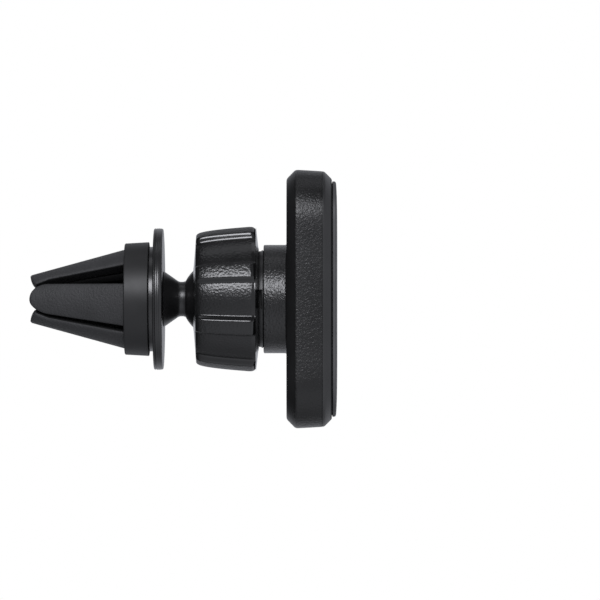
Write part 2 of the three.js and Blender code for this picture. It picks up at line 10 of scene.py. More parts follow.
import bmesh
import bpy
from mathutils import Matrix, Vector


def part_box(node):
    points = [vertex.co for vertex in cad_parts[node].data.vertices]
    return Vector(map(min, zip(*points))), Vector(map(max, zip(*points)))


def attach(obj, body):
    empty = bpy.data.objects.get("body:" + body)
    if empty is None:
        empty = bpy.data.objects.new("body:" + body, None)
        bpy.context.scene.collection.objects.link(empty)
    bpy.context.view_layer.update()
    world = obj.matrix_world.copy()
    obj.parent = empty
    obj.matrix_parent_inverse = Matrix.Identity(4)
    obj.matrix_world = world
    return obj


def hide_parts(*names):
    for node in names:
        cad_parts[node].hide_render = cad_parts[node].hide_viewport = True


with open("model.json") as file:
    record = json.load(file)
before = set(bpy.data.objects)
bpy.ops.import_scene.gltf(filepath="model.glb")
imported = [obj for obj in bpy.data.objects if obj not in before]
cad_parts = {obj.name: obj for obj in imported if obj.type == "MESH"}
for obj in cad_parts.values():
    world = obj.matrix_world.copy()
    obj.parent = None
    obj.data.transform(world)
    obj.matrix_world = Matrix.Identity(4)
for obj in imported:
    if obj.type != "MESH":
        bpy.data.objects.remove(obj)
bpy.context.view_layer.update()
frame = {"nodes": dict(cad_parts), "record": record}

MM = 0.001


# ---- sizes read from the frame --------------------------------------------------------
def span(node):
    """Lowest and highest corner of a CAD node, in millimetres."""
    low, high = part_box(node)
    return low / MM, high / MM


jaw_low, jaw_high = span("jaw_near_cover")
collar_low, collar_high = span("clip_collar")
flange_high = span("stop_flange")[1]
stud_low, stud_high = span("ball_stud")
socket_high = span("socket_collet")[1]
house_high = span("rear_housing")[1]
bezel_low, bezel_high = span("front_bezel")
pad_low, pad_high = span("face_pad")

BALL_R = 8.5
BALL_X = stud_high.x - BALL_R
SEAT_R = 9.25                 # spherical seats round the ball, in the nut and the socket
HEAD_Y = house_high.y
HEAD_Z = house_high.z
HEAD_CORNER = 11.0
HEAD_BACK_X = 28.6


# ---- camera and light -----------------------------------------------------------------
CAMERA_PLACE = (0.0315, -1.026, -0.0002)
CAMERA_LENS = 285.0
OBJECT_MIDDLE = (0.012, 0, 0)
FLOOR_Z = -0.25
FLOOR_RADIUS = 2.4
LIGHT_COLOUR = (0.97, 0.98, 1.03)
GLOW_COLOUR = (0.96, 0.98, 1.05, 1)

# The glow that lights the object, by direction: along an axis, between two places on the
# unit sphere, it goes from one strength to another.
GLOW = {
    "front": ("Y", (-1.0, 0.5), (0.6, 0.15)),
    "below": ("Z", (-1.0, 0.0), (2.0, 1.0)),
    "above": ("Z", (0.0, 0.8), (1.0, 0.35)),
    "behind": ("Y", (0.2, 0.9), (0.0, 0.45)),
    "right": ("X", (0.3, 0.9), (0.0, 0.4)),
    "left": ("X", (-0.75, -0.2), (0.22, 1.0)),
}


def add_camera():
    data = bpy.data.cameras.new("camera")
    data.sensor_width = 36.0
    data.lens = CAMERA_LENS
    data.clip_start = 0.05
    data.clip_end = 20.0
    camera = bpy.data.objects.new("camera", data)
    camera.location = CAMERA_PLACE
    camera.rotation_euler = (math.radians(90), 0, 0)
    bpy.context.collection.objects.link(camera)
    bpy.context.scene.camera = camera


def area_light(name, place, size, power):
    """A softbox aimed at the object and not seen by the camera."""
    data = bpy.data.lights.new(name, "AREA")
    data.shape = "RECTANGLE"
    data.size, data.size_y = size
    data.energy = power
    data.color = LIGHT_COLOUR
    light = bpy.data.objects.new(name, data)
    light.location = place
    aim = Vector(OBJECT_MIDDLE) - Vector(place)
    light.rotation_euler = aim.to_track_quat("-Z", "Y").to_euler()
    light.visible_camera = False
    bpy.context.collection.objects.link(light)


def stepped(tree, source, where, strength):
    """The first strength up to the first place, the second past the second, smooth between."""
    ramp = tree.nodes.new("ShaderNodeMapRange")
    ramp.interpolation_type = "SMOOTHSTEP"
    ramp.inputs["From Min"].default_value = where[0]
    ramp.inputs["From Max"].default_value = where[1]
    ramp.inputs["To Min"].default_value = strength[0]
    ramp.inputs["To Max"].default_value = strength[1]
    tree.links.new(source, ramp.inputs["Value"])
    return ramp.outputs["Result"]


def arithmetic(tree, kind, first, second):
    node = tree.nodes.new("ShaderNodeMath")
    node.operation = kind
    tree.links.new(first, node.inputs[0])
    tree.links.new(second, node.inputs[1])
    return node.outputs[0]


def studio():
    """White all round for the camera. The object is lit by the glow and by two softboxes."""
    world = bpy.data.worlds.new("studio")
    bpy.context.scene.world = world
    world.use_nodes = True
    tree = world.node_tree
    tree.nodes.clear()
    out = tree.nodes.new("ShaderNodeOutputWorld")
    mix = tree.nodes.new("ShaderNodeMixShader")
    seen = tree.nodes.new("ShaderNodeBackground")
    lit = tree.nodes.new("ShaderNodeBackground")
    seen.inputs["Color"].default_value = (1, 1, 1, 1)
    lit.inputs["Color"].default_value = GLOW_COLOUR
    path = tree.nodes.new("ShaderNodeLightPath")
    way = tree.nodes.new("ShaderNodeTexCoord")
    split = tree.nodes.new("ShaderNodeSeparateXYZ")
    tree.links.new(way.outputs["Generated"], split.inputs[0])
    glow = {}
    for side, (axis, where, strength) in GLOW.items():
        glow[side] = stepped(tree, split.outputs[axis], where, strength)
    total = arithmetic(tree, "MULTIPLY", glow["front"], glow["below"])
    total = arithmetic(tree, "MULTIPLY", total, glow["above"])
    total = arithmetic(tree, "ADD", total, glow["behind"])
    total = arithmetic(tree, "ADD", total, glow["right"])
    total = arithmetic(tree, "MULTIPLY", total, glow["left"])
    tree.links.new(total, lit.inputs["Strength"])
    tree.links.new(path.outputs["Is Camera Ray"], mix.inputs["Fac"])
    tree.links.new(lit.outputs[0], mix.inputs[1])
    tree.links.new(seen.outputs[0], mix.inputs[2])
    tree.links.new(mix.outputs[0], out.inputs["Surface"])
    area_light("key_softbox", (-0.10, -0.62, 0.36), (0.36, 0.30), 4.6)
    area_light("top_softbox", (0.0, 0.05, 0.80), (0.6, 0.3), 0.5)


def add_floor():
    """A pale disc well under the mount. It lights nothing, so that the black stays black."""
    mesh = bpy.data.meshes.new("floor")
    form = bmesh.new()
    bmesh.ops.create_circle(form, cap_ends=True, segments=64, radius=FLOOR_RADIUS)
    form.to_mesh(mesh)
    form.free()
    floor = bpy.data.objects.new("floor", mesh)
    floor.location.z = FLOOR_Z
    bpy.context.collection.objects.link(floor)
    material = bpy.data.materials.new("pale_floor")
    material.use_nodes = True
    shader = material.node_tree.nodes["Principled BSDF"]
    shader.inputs["Base Color"].default_value = (0.9, 0.9, 0.9, 1)
    shader.inputs["Roughness"].default_value = 0.9
    shader.inputs["Emission Color"].default_value = (1, 1, 1, 1)
    shader.inputs["Emission Strength"].default_value = 0.25
    mesh.materials.append(material)
    floor.visible_glossy = False
    floor.visible_diffuse = False


# ---- materials ------------------------------------------------------------------------
DRIFT_SCALE = 120.0           # per metre: how fast tone and gloss drift over a surface
DRIFT_DETAIL = 6.0
GRAIN_DETAIL = 2.0
DIMPLE_SMOOTHNESS = 0.6

MATERIALS = {}


def noise(tree, place, scale, detail):
    texture = tree.nodes.new("ShaderNodeTexNoise")
    texture.inputs["Scale"].default_value = scale
    texture.inputs["Detail"].default_value = detail
    tree.links.new(place.outputs["Object"], texture.inputs["Vector"])
    return texture.outputs["Fac"]


def dimpled(tree, place, size):
    cells = tree.nodes.new("ShaderNodeTexVoronoi")
    cells.feature = "SMOOTH_F1"
    cells.inputs["Scale"].default_value = 1.0 / (size * MM)
    cells.inputs["Smoothness"].default_value = DIMPLE_SMOOTHNESS
    tree.links.new(place.outputs["Object"], cells.inputs["Vector"])
    return cells.outputs["Distance"]


def moulded(name, dark, light, roughness, grain, dimples=None, specular=0.5, metallic=0.0):
    """Adds a material whose tone, gloss and fine relief vary over the surface.

    dark and light are the two colours that it drifts between, roughness its lowest and
    highest value. grain is a list of (feature size in mm, bump height in mm), and dimples a
    size and height of the same kind for a hammered look.
    """
    material = bpy.data.materials.new(name)
    material.use_nodes = True
    tree = material.node_tree
    shader = tree.nodes["Principled BSDF"]
    shader.inputs["Specular IOR Level"].default_value = specular
    shader.inputs["Metallic"].default_value = metallic
    place = tree.nodes.new("ShaderNodeTexCoord")

    drift = noise(tree, place, DRIFT_SCALE, DRIFT_DETAIL)
    tone = tree.nodes.new("ShaderNodeValToRGB")
    tone.color_ramp.elements[0].position = 0.35
    tone.color_ramp.elements[0].color = (*dark, 1)
    tone.color_ramp.elements[1].position = 0.68
    tone.color_ramp.elements[1].color = (*light, 1)
    tree.links.new(drift, tone.inputs["Fac"])
    tree.links.new(tone.outputs["Color"], shader.inputs["Base Color"])
    gloss = tree.nodes.new("ShaderNodeMapRange")
    gloss.inputs["From Min"].default_value = 0.3
    gloss.inputs["From Max"].default_value = 0.7
    gloss.inputs["To Min"].default_value = roughness[0]
    gloss.inputs["To Max"].default_value = roughness[1]
    tree.links.new(drift, gloss.inputs["Value"])
    tree.links.new(gloss.outputs["Result"], shader.inputs["Roughness"])

    relief = [(noise(tree, place, 1.0 / (size * MM), GRAIN_DETAIL), height) for size, height in grain]
    if dimples:
        relief.append((dimpled(tree, place, dimples[0]), dimples[1]))
    normal = None
    for texture, height in relief:
        bump = tree.nodes.new("ShaderNodeBump")
        bump.inputs["Distance"].default_value = height * MM
        bump.inputs["Strength"].default_value = 1.0
        tree.links.new(texture, bump.inputs["Height"])
        if normal:
            tree.links.new(normal, bump.inputs["Normal"])
        normal = bump.outputs["Normal"]
    tree.links.new(normal, shader.inputs["Normal"])
    MATERIALS[name] = material


def black(name, dark, light, roughness, grain, **more):
    """A near-black material, from two slightly cool greys."""
    moulded(name, (dark, dark, dark * 1.03), (light, light, light * 1.03), roughness, grain, **more)


def make_materials():
    # rubber: outside of the jaws; a darker copy of it as painted shade on their cut sides and insides and
    # in the seam round the pad; pad, and grip ring
    black("jaw_rubber", 0.028, 0.038, (0.5, 0.62), [(0.45, 0.12), (0.22, 0.09)], specular=0.25)
    # painted shade: a nearly black, dull copy of the rubber for faces that lie in shade
    black("painted_shade_rubber", 0.005, 0.008, (0.6, 0.7), [(0.3, 0.01)], specular=0.1)
    black("pad_rubber", 0.042, 0.055, (0.5, 0.62), [(0.2, 0.01)])
    black("grip_rubber", 0.02, 0.03, (0.7, 0.8), [(0.3, 0.02)])
    # plain black plastic: the clip and the magnet tray, the turned flange, and the socket
    black("satin_plastic", 0.01, 0.014, (0.44, 0.54), [(0.3, 0.006)], specular=0.34)
    black("turned_plastic", 0.01, 0.013, (0.24, 0.32), [(0.3, 0.003)])
    black("socket_plastic", 0.009, 0.012, (0.34, 0.44), [(0.3, 0.006)])
    # black plastic of the head: grained sides, boss, smooth back, and bezel
    black("grain_plastic", 0.005, 0.008, (0.3, 0.38), [(0.5, 0.085), (0.26, 0.05)], specular=0.36)
    black("boss_plastic", 0.008, 0.012, (0.24, 0.3), [(0.5, 0.075), (0.28, 0.05)])
    black("smooth_plastic", 0.006, 0.009, (0.36, 0.44), [(0.3, 0.004)])
    black("bezel_plastic", 0.011, 0.016, (0.36, 0.44), [(0.3, 0.004)])
    # black plastic of the nut: hammered panels and ribs, smooth flanks and ends
    black("gloss_plastic", 0.005, 0.008, (0.2, 0.27), [(0.24, 0.01)], dimples=(0.46, 0.042), specular=0.42)
    black("edge_plastic", 0.004, 0.007, (0.12, 0.17), [(0.4, 0.002)])
    # the ball stud, and what is inside the mount
    black("black_steel", 0.006, 0.01, (0.26, 0.36), [(0.2, 0.003)])
    black("adhesive", 0.04, 0.06, (0.6, 0.7), [(0.3, 0.01)])
    moulded("nylon", (0.6, 0.58, 0.52), (0.7, 0.68, 0.62), (0.42, 0.5), [(0.4, 0.01)])
    moulded("zinc_steel", (0.5, 0.5, 0.52), (0.6, 0.6, 0.62), (0.24, 0.36), [(0.2, 0.003)], metallic=1.0)
    moulded("nickel", (0.56, 0.54, 0.5), (0.64, 0.62, 0.58), (0.14, 0.24), [(0.5, 0.002)], metallic=1.0)


# ---- mesh building --------------------------------------------------------------------
def clamp(value, low, high):
    return max(low, min(high, value))


def mesh_object(name, form, slot, smooth_angle=38):
    """An object from a bmesh in millimetres: faces out, smooth except over sharp edges."""
    bmesh.ops.remove_doubles(form, verts=form.verts, dist=1e-5)
    bmesh.ops.recalc_face_normals(form, faces=form.faces)
    if form.calc_volume(signed=True) < 0:
        bmesh.ops.reverse_faces(form, faces=form.faces)
    bmesh.ops.scale(form, vec=(MM, MM, MM), verts=form.verts)
    mesh = bpy.data.meshes.new(name)
    form.to_mesh(mesh)
    form.free()
    mesh.shade_smooth()
    mesh.set_sharp_from_angle(angle=math.radians(smooth_angle))
    mesh.materials.append(MATERIALS[slot])
    piece = bpy.data.objects.new(name, mesh)
    bpy.context.collection.objects.link(piece)
    return piece


def paint(piece, slot, chosen):
    """Gives one more material to the faces that chosen(centre in mm, normal) picks."""
    piece.data.materials.append(MATERIALS[slot])
    number = len(piece.data.materials) - 1
    for face in piece.data.polygons:
        if chosen(face.center / MM, face.normal):
            face.material_index = number


def stand_in(piece, body, node):
    """The piece moves with a body and is shown in place of a CAD node."""
    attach(piece, body)
    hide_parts(node)


def skin(rings, closed=False):
    """Quads between rings of equal length. Ends are filled, or the last ring meets the first."""
    form = bmesh.new()
    verts = [[form.verts.new(p) for p in ring] for ring in rings]
    count = len(rings[0])
    last = len(rings) if closed else len(rings) - 1
    for i in range(last):
        here = verts[i]
        after = verts[(i + 1) % len(rings)]
        for k in range(count):
            m = (k + 1) % count
            form.faces.new((here[k], after[k], after[m], here[m]))
    if not closed:
        form.faces.new(verts[0])
        form.faces.new(reversed(verts[-1]))
    return form


def filleted(corners, steps=5):
    """A closed outline of (a, b) points from (a, b, fillet radius) corners."""
    points = []
    count = len(corners)
    for i, (a, b, radius) in enumerate(corners):
        if radius <= 0:
            points.append((a, b))
            continue
        here = Vector((a, b))
        back = Vector(corners[i - 1][:2]) - here
        on = Vector(corners[(i + 1) % count][:2]) - here
        back_way = back.normalized()
        on_way = on.normalized()
        half = back_way.angle(on_way) / 2
        reach = min(radius / math.tan(half), back.length * 0.49, on.length * 0.49)
        start = here + back_way * reach
        end = here + on_way * reach
        for k in range(steps + 1):
            t = k / steps
            p = start * (1 - t) ** 2 + here * 2 * t * (1 - t) + end * t ** 2
            points.append((p.x, p.y))
    return points


def around(x, r, degrees):
    """A point at radius r: 0 degrees is the -Y side and 90 is up."""
    turn = math.radians(degrees)
    return (x, -r * math.cos(turn), r * math.sin(turn))


def revolved(outline, sides=160):
    """A ring-shaped solid from a closed (x, radius) outline that stays off the axis."""
    rings = [[around(x, r, 360 * k / sides) for k in range(sides)] for x, r in outline]
    return skin(rings, closed=True)


def turned(outline, sides=160):
    """A solid from an open (x, radius) outline whose two ends lie on the axis."""
    inner = [[around(x, r, 360 * k / sides) for k in range(sides)] for x, r in outline[1:-1]]
    form = bmesh.new()
    verts = [[form.verts.new(p) for p in ring] for ring in inner]
    for here, after in zip(verts, verts[1:]):
        for k in range(sides):
            m = (k + 1) % sides
            form.faces.new((here[k], after[k], after[m], here[m]))
    for (x, _), ring in ((outline[0], verts[0]), (outline[-1], verts[-1])):
        tip = form.verts.new((x, 0, 0))
        for k in range(sides):
            form.faces.new((tip, ring[k], ring[(k + 1) % sides]))
    return form


def arc(centre_x, radius, start, end, steps):
    """(x, radius) points of an arc about a centre on the axis, in degrees off +X."""
    turns = [math.radians(start + (end - start) * k / steps) for k in range(steps + 1)]
    return [(centre_x + radius * math.cos(t), radius * math.sin(t)) for t in turns]


def head_ring(x, inset, corner_steps=14, side_steps=14):
    """A rounded rectangle across X, drawn in from the head's outline."""
    quarters = ((1, 1), (-1, 1), (-1, -1), (1, -1))
    reach = HEAD_CORNER - inset

    def on_corner(number, degrees):
        side_y, side_z = quarters[number % 4]
        turn = math.radians(degrees)
        y = side_y * (HEAD_Y - HEAD_CORNER) + reach * math.cos(turn)
        z = side_z * (HEAD_Z - HEAD_CORNER) + reach * math.sin(turn)
        return Vector((x, y, z))

    ring = []
    for number in range(4):
        ring += [on_corner(number, 90 * (number + k / corner_steps)) for k in range(corner_steps + 1)]
        start = ring[-1]
        end = on_corner(number + 1, 90 * (number + 1))
        ring += [start.lerp(end, k / side_steps) for k in range(1, side_steps)]
    return ring


def circle_like(x, r, ring):
    """A circle whose points lie in the same directions as those of a ring."""
    points = []
    for _, y, z in ring:
        length = math.hypot(y, z)
        points.append((x, y / length * r, z / length * r))
    return points


# ---- jaws -----------------------------------------------------------------------------
JAW_TIP_X = jaw_low.x
JAW_ROOT_X = jaw_high.x
JAW_TIP_R = 5.1
JAW_SLOPE = 0.2745            # growth of the outer radius towards the collar
JAW_TIP_WALL = 2.2
JAW_ROOT_WALL = 3.2
NARROW_JAW_TOP_Z = 3.5        # upper edge of a narrow jaw, parallel to the axis
NARROW_JAW_LOW = -34.0        # its lower edge, and where its tip points, in degrees
NARROW_JAW_MIDDLE = -1.5
NARROW_JAW_ROUND = 4.0        # length of its rounded tip
WIDE_JAW_TIP = (36, 146)      # edges of a wide jaw at its tip, in degrees
WIDE_JAW_SPREAD = (9, -8.7)   # how far they draw in behind the tip
WIDE_JAW_MIDDLE = 91
WIDE_JAW_ROUND = 1.7
NOSE = 0.5                    # length of the rounding at the very end
NOSE_DROP = 0.35
LEAD_IN = 3.0                 # length over which the tip is thinner inside
LEAD_IN_DEPTH = 1.65
OUTER_ROUND = 0.6             # rounding of the edges along the jaw
INNER_ROUND = 0.15
UNDERCUT = 1.1                # how far a wide jaw's sides lean in
RIDGE_PITCH = 1.6
RIDGE_HEIGHT = 0.35
RIDGES_START = 5.0            # from the tip
RINGS_AT_TIP = (              # from the tip, close together where it is round
    0.004, 0.02, 0.06, 0.12, 0.22, 0.36, 0.52, 0.7, 0.9, 1.15, 1.45, 1.7, 2.1, 2.5, 3.0, 3.4, 4.0,
)


def jaw_radius(x):
    return JAW_TIP_R + JAW_SLOPE * (x - JAW_TIP_X)


def jaw_wall(x):
    share = (x - JAW_TIP_X) / (JAW_ROOT_X - JAW_TIP_X)
    return JAW_TIP_WALL + (JAW_ROOT_WALL - JAW_TIP_WALL) * share


def tip_share(x, round_length):
    """How much of its width a jaw has at x: 0 at the tip, all of it past the rounding."""
    short = max(0.0, JAW_TIP_X + round_length - x) / round_length
    return math.sqrt(max(0.0, 1 - short * short))


def drawn_in(edges, middle, share):
    return [middle + (edge - middle) * share for edge in edges]


def jaw_edges(x, wide):
    """Edges of a jaw at x, in degrees round the axis."""
    if not wide:
        top = math.degrees(math.asin(NARROW_JAW_TOP_Z / jaw_radius(x)))
        share = tip_share(x, NARROW_JAW_ROUND)
        return drawn_in((NARROW_JAW_LOW, top), NARROW_JAW_MIDDLE, share)
    spread = clamp((x - JAW_TIP_X - 1.2) / 3, 0, 1)
    edges = [edge + change * spread for edge, change in zip(WIDE_JAW_TIP, WIDE_JAW_SPREAD)]
    return drawn_in(edges, WIDE_JAW_MIDDLE, tip_share(x, WIDE_JAW_ROUND))


def flat_section(half_w, half_t, ridge, steps=14):
    """A jaw's wall before it is bent: (u, v) along and across it, v pointing outwards.

    Its edges are rounded, and ridge is how proud the middle of its inner side stands.
    """
    corners = [(-half_w, half_t), (half_w, half_t), (half_w, -half_t), (-half_w, -half_t)]

    def rounding(v):
        return min(half_t * 0.95, half_w * 0.95, OUTER_ROUND if v > 0 else INNER_ROUND)

    def inside_corner(u, v):
        edge = rounding(v)
        return u - math.copysign(edge, u), v - math.copysign(edge, v)

    ring = []
    for number, (u, v) in enumerate(corners):
        centre_u, centre_v = inside_corner(u, v)
        for k in range(7):
            turn = math.radians(180 - 90 * number - 15 * k)
            ring.append((centre_u + rounding(v) * math.cos(turn), centre_v + rounding(v) * math.sin(turn)))
        end_u, end_v = inside_corner(*corners[(number + 1) % 4])
        if number in (0, 2):
            for k in range(1, steps):
                t = k / steps
                proud = ridge * clamp(6 * t * (1 - t), 0, 1) if v < 0 else 0
                ring.append((centre_u + (end_u - centre_u) * t, v - proud))
        else:
            ring += [(u, centre_v + (end_v - centre_v) * k / 4) for k in range(1, 4)]
    return ring


def jaw_section(x, wide):
    """A ring across the jaw: its wall bent round the axis."""
    start, end = jaw_edges(x, wide)
    along = x - JAW_TIP_X
    nose = math.sqrt(1 - (1 - clamp(along / NOSE, 0.05, 1)) ** 2)
    lead_in = LEAD_IN_DEPTH * clamp(1 - along / LEAD_IN, 0, 1) ** 2
    ridge = RIDGE_HEIGHT * clamp(math.sin(2 * math.pi * (x - JAW_ROOT_X) / RIDGE_PITCH), 0, 1)
    ridge *= clamp((along - RIDGES_START) / 2, 0, 1)
    half_t = (jaw_wall(x) - lead_in) * nose / 2
    middle = jaw_radius(x) - NOSE_DROP * (1 - nose) - half_t
    half_w = math.radians(end - start) / 2 * middle
    undercut = UNDERCUT * clamp((along - 1) / 12, 0, 1) if wide else 0.0
    points = []
    for u, v in flat_section(half_w, half_t, ridge):
        depth = clamp((half_t - OUTER_ROUND - v) / (2 * half_t), 0, 1)
        u *= 1 - undercut * depth / half_w
        points.append(around(x, middle + v, (start + end) / 2 + math.degrees(u / middle)))
    return points


def jaw_cover(side, wide, turned_over):
    body = JAW_ROOT_X - JAW_TIP_X - RINGS_AT_TIP[-1]
    count = int(body / (RIDGE_PITCH / 8))
    places = list(RINGS_AT_TIP)
    places += [RINGS_AT_TIP[-1] + body * (k + 1) / count for k in range(count)]
    form = skin([jaw_section(JAW_TIP_X + along, wide) for along in places])
    if turned_over:
        for v in form.verts:
            v.co.y = -v.co.y
            v.co.z = -v.co.z

    # the jaw's side and inside faces, which get painted shade: the nearly black rubber stands for the
    # shade in the slots
    def shaded_side_or_inside(centre, normal):
        outward = Vector((0, centre.y, centre.z)).normalized()
        on_tip = centre.x < JAW_TIP_X + 1.5 or abs(normal.x) >= 0.6
        return not on_tip and normal.dot(outward) < 0.55

    piece = mesh_object(f"jaw_{side}_cover_fine", form, "jaw_rubber")
    # painted shade on the jaw's sides and inside
    paint(piece, "painted_shade_rubber", shaded_side_or_inside)
    stand_in(piece, f"jaw_{side}", f"jaw_{side}_cover")


# ---- clip and stud --------------------------------------------------------------------
COLLAR_BORE_R = 11.1
COLLAR_FRONT_R = 12.0
FLANGE_T = 2.0
FLANGE_RIM_DROP = 0.1         # the rim's two corners lie this much inside it
SPIGOT_R = 11.3
SPIGOT_T = 1.0
SHANK_R = 2.6
STEM_PILOT_R = 1.3
STEM_PILOT_END_X = 3.0
CONE_R = 5.9
CONE_END_R = 4.02
CONE_END_X = 5.0
NECK_R = 3.73


def clip_collar():
    outline = filleted([
        (collar_low.x, COLLAR_BORE_R, 0.25),
        (collar_low.x, COLLAR_FRONT_R, 0.3),
        (collar_high.x, collar_high.z, 0.2),
        (collar_high.x, COLLAR_BORE_R, 0),
    ])
    piece = mesh_object("clip_collar_fine", revolved(outline), "satin_plastic")
    stand_in(piece, "vent_clip", "clip_collar")


def stop_flange():
    """A disc with a spigot behind it. Its rim has a rounded lip and fine turned lines."""
    rim = flange_high.z
    corners = [(-SPIGOT_T, SHANK_R + 0.1, 0), (-SPIGOT_T, SPIGOT_R, 0.12), (0.0, SPIGOT_R, 0.15)]
    corners.append((0.0, rim - FLANGE_RIM_DROP, 0.3))
    for x, half_w, depth in ((0.5, 0.12, 0.12), (0.95, 0.08, 0.04), (1.35, 0.08, 0.04)):
        corners += [(x - half_w, rim, 0.03), (x, rim - depth, 0.02), (x + half_w, rim, 0.03)]
    corners += [(FLANGE_T, rim - FLANGE_RIM_DROP, 0.3), (FLANGE_T, SHANK_R + 0.1, 0)]
    piece = mesh_object("stop_flange_fine", revolved(filleted(corners, 4)), "turned_plastic")
    stand_in(piece, "vent_clip", "stop_flange")


def ball_stud():
    """Screw hole and shank, the cone's foot, the cone running into the neck, and the ball."""
    foot_x = FLANGE_T + 0.05
    outline = [(STEM_PILOT_END_X, 0), (STEM_PILOT_END_X, STEM_PILOT_R), (stud_low.x, STEM_PILOT_R)]
    outline += [(stud_low.x, SHANK_R), (foot_x, SHANK_R), (foot_x, CONE_R)]
    outline += [(foot_x + 0.1, CONE_R + 0.08), (foot_x + 0.25, CONE_R), (CONE_END_X, CONE_END_R)]
    outline += [(5.3, NECK_R + 0.1), (5.7, NECK_R), (6.3, NECK_R)]
    neck_turn = 180 - math.degrees(math.asin(NECK_R / BALL_R))
    outline += arc(BALL_X, BALL_R, neck_turn - 1, 0, 40)
    piece = mesh_object("ball_stud_fine", turned(outline), "black_steel")
    stand_in(piece, "vent_clip", "ball_stud")


# ---- clamp nut ------------------------------------------------------------------------
NUT_RIBS = 8
RIB_HEIGHT = 1.1
RIB_TOP_HALF = 5.0            # degrees
RIB_BASE_HALF = 9.2
NUT_FACE_X = 9.3              # where the barrel starts, at the ball's end
NUT_FACE_R = 14.45            # radius over the ribs there
NUT_WIDEN = 1.85              # growth of the radius along the barrel
NUT_BULGE = 0.47              # power by which it grows
NUT_BARREL_LENGTH = 11.4
NUT_ROUND_X = 20.85           # where the rounding at the wide end starts
NUT_ROUND = 1.15
NUT_ROUND_DROP = 0.8
NUT_BORE_R = 10.75
NUT_SHOULDER_X = 14.6
NUT_LIP_R = 8.7


def smooth(t):
    t = clamp(t, 0.0, 1.0)
    return t * t * (3 - 2 * t)


def rib_share(degrees):
    """How proud the nut stands at an angle: 1 on a rib, 0 on a panel."""
    period = 360 / NUT_RIBS
    off = abs((degrees % period) - period / 2)
    return smooth((RIB_BASE_HALF - off) / (RIB_BASE_HALF - RIB_TOP_HALF))


def nut_radius(x):
    along = clamp((x - NUT_FACE_X) / NUT_BARREL_LENGTH, 0, 1)
    return NUT_FACE_R + NUT_WIDEN * along ** NUT_BULGE


def nut_angles():
    """Degrees round the nut, closer together on the ribs' flanks than on the panels."""
    angles = []
    period = 360 / NUT_RIBS
    flank = [RIB_TOP_HALF + (RIB_BASE_HALF - RIB_TOP_HALF) * k / 8 for k in range(-1, 10)]
    panel = period - 2 * RIB_BASE_HALF - 1
    for rib in range(NUT_RIBS):
        middle = (rib + 0.5) * period
        angles += [middle - off for off in reversed(flank)] + [middle]
        angles += [middle + off for off in flank]
        angles += [middle + RIB_BASE_HALF + 0.5 + panel * k / 8 for k in range(1, 8)]
    return angles


def clamp_nut():
    angles = nut_angles()
    # outside, as (x, change of radius, share of the ribs' height): the ball end's rounding,
    # the barrel, and the rounding of the wide end, where the ribs run out
    rows = [(9.14, -0.3, 0.6), (9.17, -0.12, 0.75), (9.24, -0.03, 0.88), (9.36, 0.0, 0.95)]
    rows += [(9.8 + 10.8 * (k / 16) ** 1.3, 0.0, 1.0) for k in range(17)]
    for k in range(1, 7):
        turn = math.radians(15 * k)
        drop = NUT_ROUND_DROP * (1 - math.cos(turn))
        rows.append((NUT_ROUND_X + NUT_ROUND * math.sin(turn), -drop, math.cos(turn) ** 0.5))
    rings = []
    for x, change, share in rows:
        reach = nut_radius(x) + change
        rings.append([around(x, reach - RIB_HEIGHT * share * (1 - rib_share(a)), a) for a in angles])
    # inside, as (x, radius): the wide end, the bore, the ball's seat, the lip and the mouth
    plain = [(22.25, 13.4), (22.5, 11.2), (22.6, 11.0), (22.58, 10.8), (22.4, NUT_BORE_R)]
    plain.append((NUT_SHOULDER_X, NUT_BORE_R))
    plain += arc(BALL_X, SEAT_R, 90, 121.5, 8)
    plain += arc(BALL_X, NUT_LIP_R, 122, 131.2, 4)
    plain += [(8.52, 6.6), (8.5, 6.75), (8.56, 7.0), (8.95, 11.5), (9.05, 13.0)]
    rings += [[around(x, r, a) for a in angles] for x, r in plain]

    def flank_or_end(centre, normal):
        turn = math.degrees(math.atan2(centre.z, -centre.y))
        on_flank = 0.03 < rib_share(turn) < 0.97
        return on_flank or centre.x > NUT_ROUND_X + 0.05 or centre.x < NUT_FACE_X

    piece = mesh_object("clamp_nut_fine", skin(rings, closed=True), "gloss_plastic", 50)
    paint(piece, "edge_plastic", flank_or_end)
    stand_in(piece, "nut", "clamp_nut")


# ---- socket ---------------------------------------------------------------------------
SOCKET_R = 10.54
SOCKET_SHOULDER_X = 23.6
SOCKET_SPIGOT_R = 9.8
GROOVE_PITCH = 1.5
GROOVE_DEPTH = 0.12
FIRST_GROOVE_X = 16.5
LAST_GROOVE_X = 23.0
SLOT_LENGTH = 9.0
SLOT_WIDTH = 4.1
SLOT_DEPTH = 4.4
SLOT_X = 18.7
SLOT_MIDDLE_R = 9.5


def cut_slot(piece, way_y, way_z):
    """Cuts the slot that lies in the direction (way_y, way_z) from the axis."""
    form = bmesh.new()
    bmesh.ops.create_cube(form, size=1)
    size = (SLOT_LENGTH, SLOT_DEPTH if way_y else SLOT_WIDTH, SLOT_DEPTH if way_z else SLOT_WIDTH)
    bmesh.ops.scale(form, vec=size, verts=form.verts)
    place = (SLOT_X, SLOT_MIDDLE_R * way_y, SLOT_MIDDLE_R * way_z)
    bmesh.ops.translate(form, vec=place, verts=form.verts)
    cutter = mesh_object("slot_cutter", form, "socket_plastic")
    cut = piece.modifiers.new("slot", "BOOLEAN")
    cut.operation = "DIFFERENCE"
    cut.solver = "EXACT"
    cut.object = cutter
    bpy.context.view_layer.objects.active = piece
    bpy.ops.object.modifier_apply(modifier=cut.name)
    bpy.data.objects.remove(cutter)


